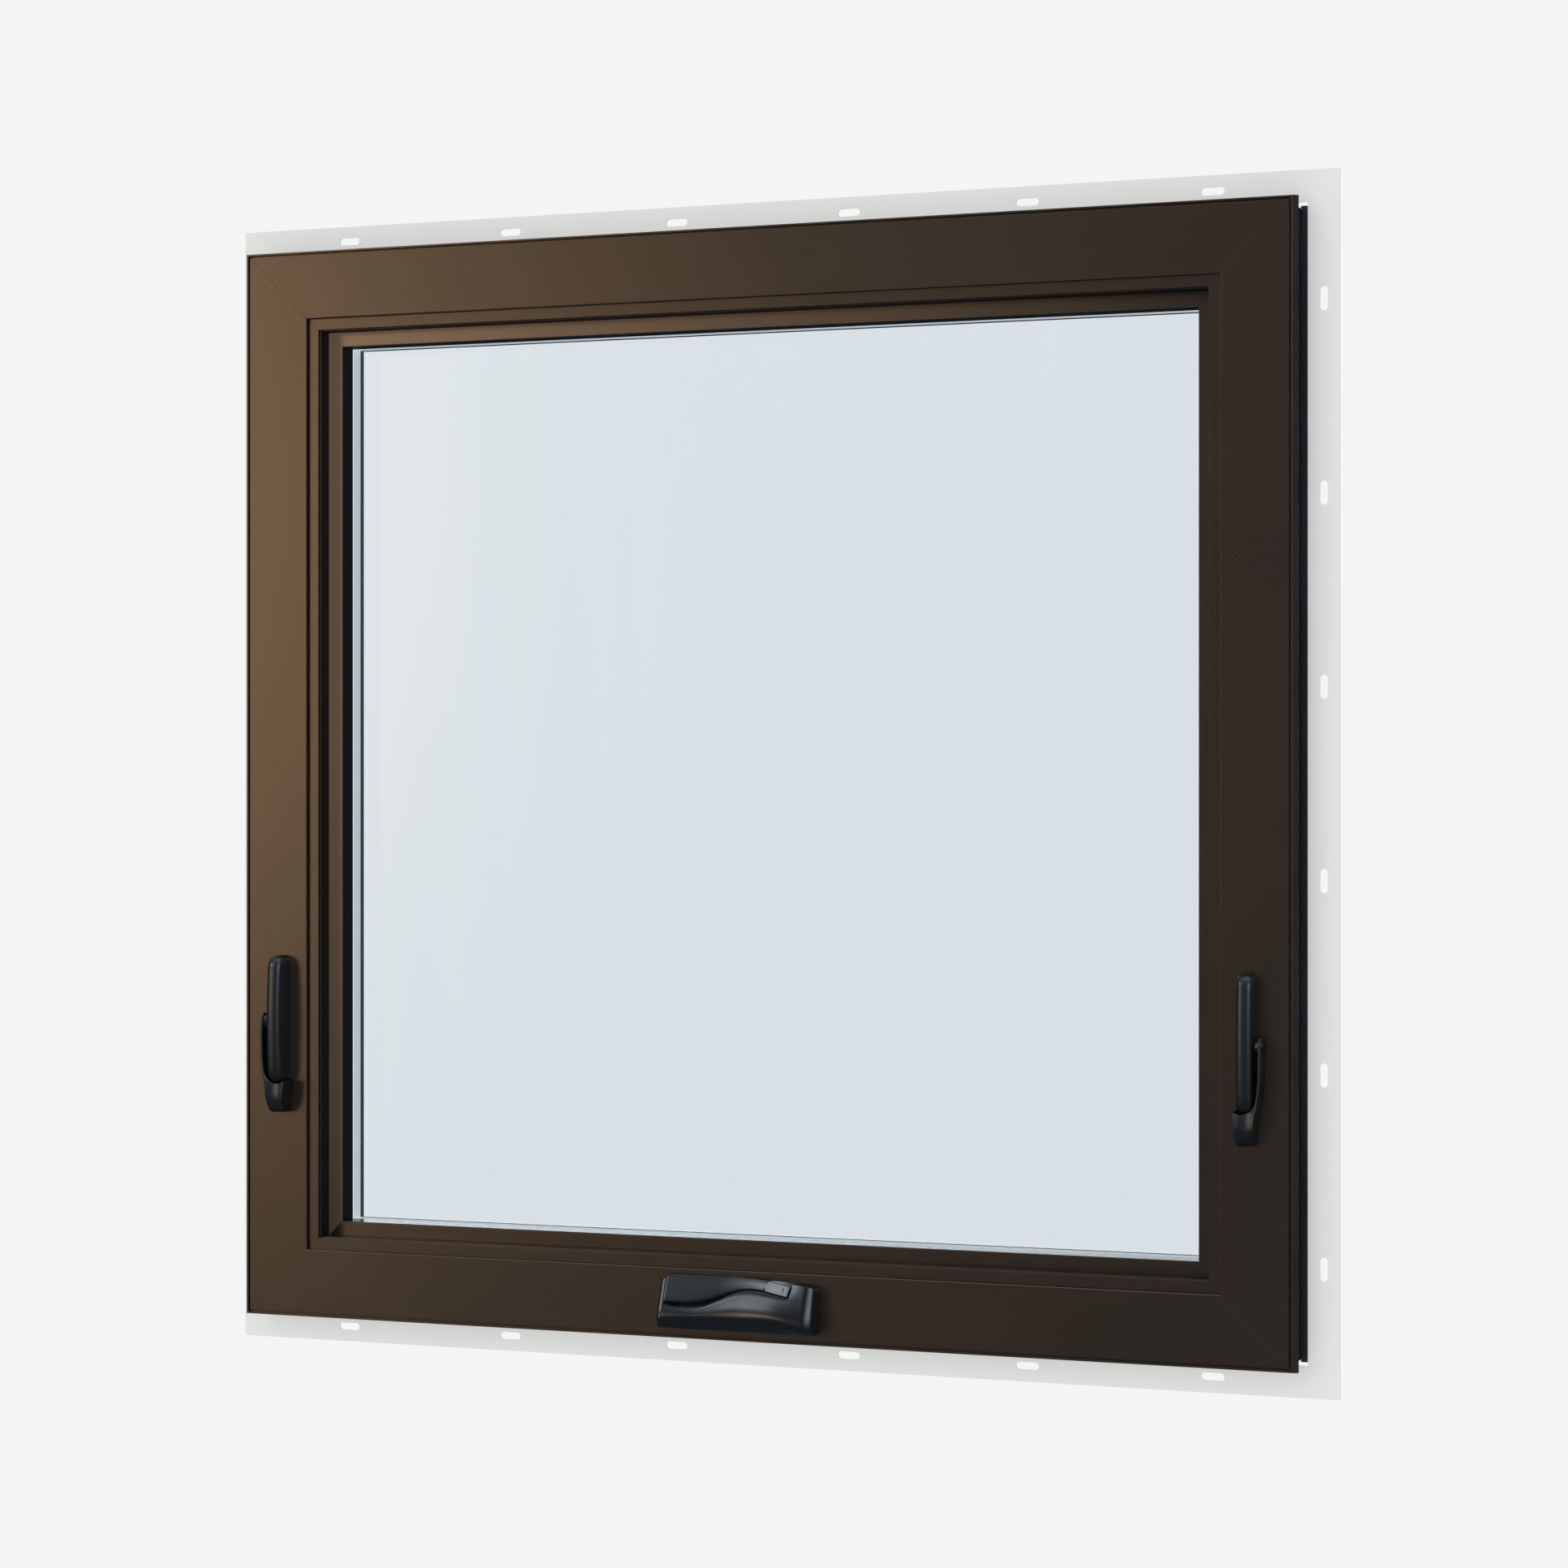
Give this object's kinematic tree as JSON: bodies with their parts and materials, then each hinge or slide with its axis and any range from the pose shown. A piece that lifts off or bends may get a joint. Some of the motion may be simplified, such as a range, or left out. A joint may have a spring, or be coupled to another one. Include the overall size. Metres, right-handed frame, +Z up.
{
  "type": "top hung awning window",
  "caption": "Closed top hung awning window with bronze frame and sash, double glazing, slotted nailing fin, sash locks on both jambs and a folding crank on the sill.",
  "frame": {"origin": "on the nailing fin's bearing face, at mid width on the line of the bottom slots", "axes": "+X to the right seen from the room, +Y outdoors, +Z up"},
  "size_m": [0.9652, 0.1061, 0.9652],
  "materials": {
    "frame_bronze": "satin dark bronze extrusion",
    "casing_bronze": "satin dark bronze, finest of texture",
    "clip_rail": "near-black bronze extrusion",
    "fin_grey": "pale grey flexible vinyl",
    "sash_bronze": "satin dark bronze extrusion",
    "bead_bronze": "satin dark bronze snap-in bead",
    "seal_rubber": "black soft rubber",
    "clear_glass": "clear with a faint blue-green tint",
    "spacer_metal": "dull grey, fine rows of holes",
    "stay_steel": "brushed stainless",
    "black_hardware": "satin black powder coat",
    "pin_steel": "blackened steel"
  },
  "bodies": {
    "window": {"frame_head": "frame_bronze", "frame_sill": "frame_bronze", "frame_left_jamb": "frame_bronze", "frame_right_jamb": "frame_bronze", "casing_head": "casing_bronze", "stop_head": "casing_bronze", "fin_clip_head": "clip_rail", "nail_fin_head": "fin_grey", "casing_sill": "casing_bronze", "stop_sill": "casing_bronze", "fin_clip_sill": "clip_rail", "nail_fin_sill": "fin_grey", "casing_left": "casing_bronze", "stop_left": "casing_bronze", "fin_clip_left": "clip_rail", "nail_fin_left": "fin_grey", "casing_right": "casing_bronze", "stop_right": "casing_bronze", "fin_clip_right": "clip_rail", "nail_fin_right": "fin_grey", "sash_top_rail": "sash_bronze", "sash_bottom_rail": "sash_bronze", "sash_left_stile": "sash_bronze", "sash_right_stile": "sash_bronze", "bead_top": "bead_bronze", "bead_bottom": "bead_bronze", "bead_left": "bead_bronze", "bead_right": "bead_bronze", "weatherstrip": "seal_rubber", "glazing_gasket": "seal_rubber", "inner_pane": "clear_glass", "outer_pane": "clear_glass", "glass_spacer": "spacer_metal", "hinge_stays": "stay_steel", "left_lock_housing": "black_hardware", "left_lock_pin": "pin_steel", "right_lock_housing": "black_hardware", "right_lock_pin": "pin_steel", "operator_cover": "black_hardware", "crank_hub": "black_hardware", "crank_pin": "pin_steel"},
    "left_lever": {"left_lock_lever": "black_hardware"},
    "right_lever": {"right_lock_lever": "black_hardware"},
    "crank": {"crank_handle": "black_hardware", "crank_knob": "black_hardware"}
  },
  "joints": [
    {"name": "left_lock", "type": "hinge", "parent": "window", "child": "left_lever", "pos_m": [-0.424, -0.0568, 0.2667], "axis": [-1, 0, 0], "range_deg": [0, 150]},
    {"name": "right_lock", "type": "hinge", "parent": "window", "child": "right_lever", "pos_m": [0.424, -0.0568, 0.2667], "axis": [-1, 0, 0], "range_deg": [0, 150]},
    {"name": "crank_fold", "type": "hinge", "parent": "window", "child": "crank", "pos_m": [0.03572, -0.0585, 0.05985], "axis": [0.23, 0.4113, 0.882], "range_deg": [0, 140]}
  ]
}
